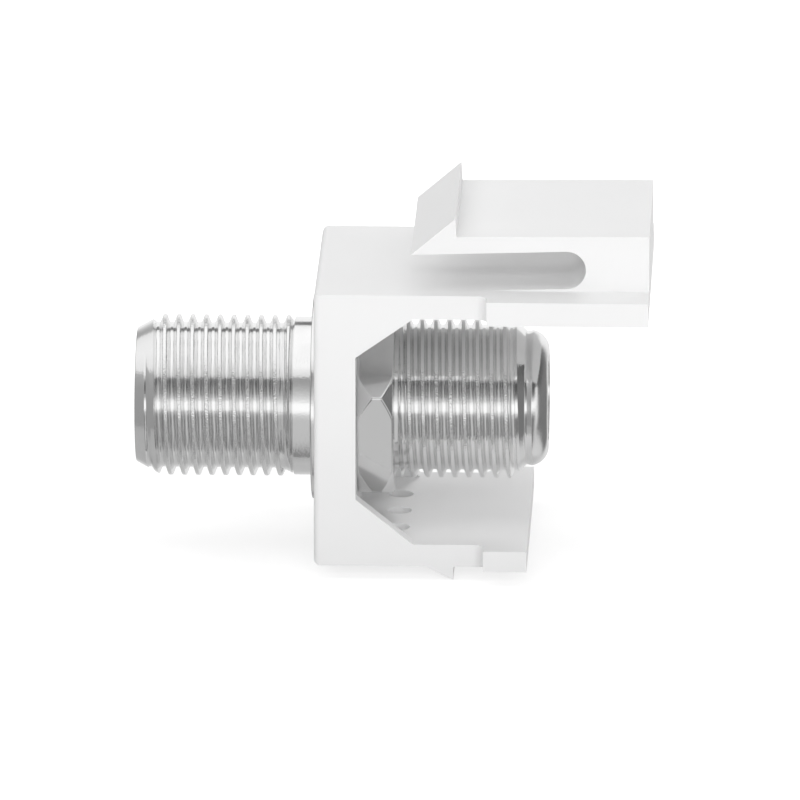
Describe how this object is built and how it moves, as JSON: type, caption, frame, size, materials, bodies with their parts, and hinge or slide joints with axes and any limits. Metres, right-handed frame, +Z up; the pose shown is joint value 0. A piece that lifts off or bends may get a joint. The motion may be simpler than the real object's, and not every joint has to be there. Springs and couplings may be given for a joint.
{
  "type": "snap-in coaxial f connector insert",
  "caption": "White snap-in wall plate insert that holds a threaded female to female coaxial F connector, with a springy latch arm on top.",
  "frame": {"origin": "on the connector's axis, in the plane of the housing's front face, which lies flush with the wall plate", "axes": "+X along the connector's axis, from the front port towards the rear port; +Z up, towards the latch; +Y across the housing"},
  "size_m": [0.0297, 0.0172, 0.0212],
  "materials": {
    "white_plastic": "smooth white moulded plastic",
    "plated_barrel": "bright nickel plating on turned brass",
    "plated_nut": "bright nickel plating on a brass hex nut",
    "insulator_plastic": "natural milky insulator plastic",
    "contact_metal": "spring bronze"
  },
  "bodies": {
    "root": {"housing": "white_plastic", "barrel_shell": "plated_barrel", "hex_nut": "plated_nut", "front_insulator": "insulator_plastic", "rear_insulator": "insulator_plastic", "center_contact": "contact_metal"}
  },
  "joints": []
}
